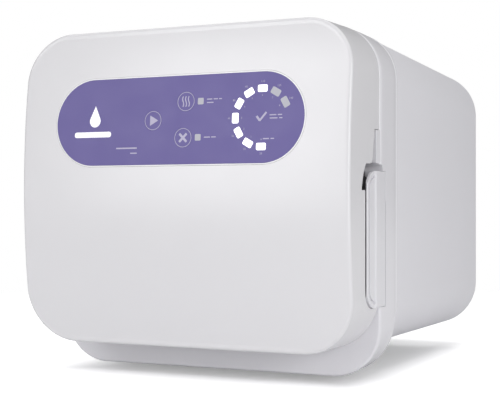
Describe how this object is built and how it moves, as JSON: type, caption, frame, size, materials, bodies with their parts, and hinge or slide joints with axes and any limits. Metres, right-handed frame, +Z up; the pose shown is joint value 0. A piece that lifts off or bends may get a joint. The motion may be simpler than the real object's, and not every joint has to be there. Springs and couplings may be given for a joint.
{
  "type": "benchtop autoclave",
  "caption": "Front-loading benchtop steam autoclave: rounded white casing, side-hinged door with control panel and side lever, cylindrical chamber with rack and trays.",
  "frame": {"origin": "centre of the bounding box's underside, on the surface that the feet stand on", "axes": "+X to the right and +Y to the back as a user faces the door, +Z up"},
  "size_m": [0.2992, 0.3574, 0.28],
  "materials": {
    "white_plastic": "satin white moulded plastic",
    "lever_plastic": "satin white moulded plastic",
    "white_paint": "fine satin white paint on sheet steel",
    "violet_overlay": "satin violet printed overlay",
    "lit_white": "translucent white light guide",
    "stainless": "brushed stainless steel",
    "heater_mica": "mica band heater",
    "aluminium": "satin anodised",
    "zinc_steel": "zinc plated steel",
    "copper": "drawn copper tube",
    "brass": "turned brass",
    "silicone": "translucent white silicone",
    "rubber": "matt black rubber",
    "black_plastic": "fine black moulding texture",
    "board_green": "circuit board with green solder mask",
    "insulation": "needled mineral fibre jacket"
  },
  "bodies": {
    "casing": {"front_frame": "white_plastic", "rear_cover": "white_paint", "rear_panel": "white_paint", "chamber": "stainless", "hinge_pin_lower": "stainless", "hinge_pin_upper": "stainless", "lever_pin": "stainless", "panel_screw_low_left": "stainless", "panel_screw_low_right": "stainless", "panel_screw_top_left": "stainless", "panel_screw_top_right": "stainless", "heater_band": "heater_mica", "tray_rack": "aluminium", "tray_lower": "aluminium", "tray_upper": "aluminium", "mounting_collar": "aluminium", "base_plate": "zinc_steel", "front_bulkhead": "zinc_steel", "chamber_cradle": "zinc_steel", "frame_hinge_lower": "zinc_steel", "frame_hinge_upper": "zinc_steel", "transformer": "zinc_steel", "steam_pipe": "copper", "drain_pipe": "copper", "relief_pipe": "copper", "exhaust_solenoid": "brass", "drain_outlet": "brass", "safety_valve": "brass", "pressure_sensor": "brass", "front_foot_left": "rubber", "front_foot_right": "rubber", "rear_foot_left": "rubber", "rear_foot_right": "rubber", "mains_inlet": "black_plastic", "switch_housing": "black_plastic", "fuse_holder_left": "black_plastic", "fuse_holder_right": "black_plastic", "overheat_thermostat": "black_plastic", "power_board": "board_green", "insulation_jacket": "insulation"},
    "door": {"door_shell": "white_plastic", "door_liner": "white_plastic", "door_crossbar": "zinc_steel", "plate_stud": "zinc_steel", "pressure_plate": "stainless", "door_seal": "silicone", "latch_strike": "zinc_steel", "control_panel": "violet_overlay", "indicator_ring": "lit_white", "control_board": "board_green", "door_hinge_lower": "zinc_steel", "door_hinge_upper": "zinc_steel"},
    "lever": {"lever": "lever_plastic", "latch_hook_lower": "zinc_steel", "latch_hook_upper": "zinc_steel"},
    "key_start": {"key_start": "violet_overlay"},
    "key_dry": {"key_dry": "violet_overlay"},
    "key_cancel": {"key_cancel": "violet_overlay"},
    "rocker": {"mains_rocker": "black_plastic"},
    "valve_ring": {"valve_pull_ring": "stainless"}
  },
  "joints": [
    {"name": "door_hinge", "type": "hinge", "parent": "casing", "child": "door", "pos_m": [-0.14495, -0.1155, 0.1542], "axis": [0, 0, -1], "range_deg": [0, 110]},
    {"name": "lever_hinge", "type": "hinge", "parent": "casing", "child": "lever", "pos_m": [0.14285, -0.1073, 0.114], "axis": [0, 0, 1], "range_deg": [0, 65]},
    {"name": "key_start_press", "type": "slide", "parent": "door", "child": "key_start", "axis": [0, 1, 0], "range_m": [0, 0.0005], "stiffness_N_per_m": 400},
    {"name": "key_dry_press", "type": "slide", "parent": "door", "child": "key_dry", "axis": [0, 1, 0], "range_m": [0, 0.0005], "stiffness_N_per_m": 400},
    {"name": "key_cancel_press", "type": "slide", "parent": "door", "child": "key_cancel", "axis": [0, 1, 0], "range_m": [0, 0.0005], "stiffness_N_per_m": 400},
    {"name": "mains_rocker_tilt", "type": "hinge", "parent": "casing", "child": "rocker", "pos_m": [0.10025, 0.1622, 0.102], "axis": [1, 0, 0], "range_deg": [-16, 0]},
    {"name": "valve_ring_pull", "type": "slide", "parent": "casing", "child": "valve_ring", "axis": [0, 1, 0], "range_m": [0, 0.003], "stiffness_N_per_m": 600}
  ]
}
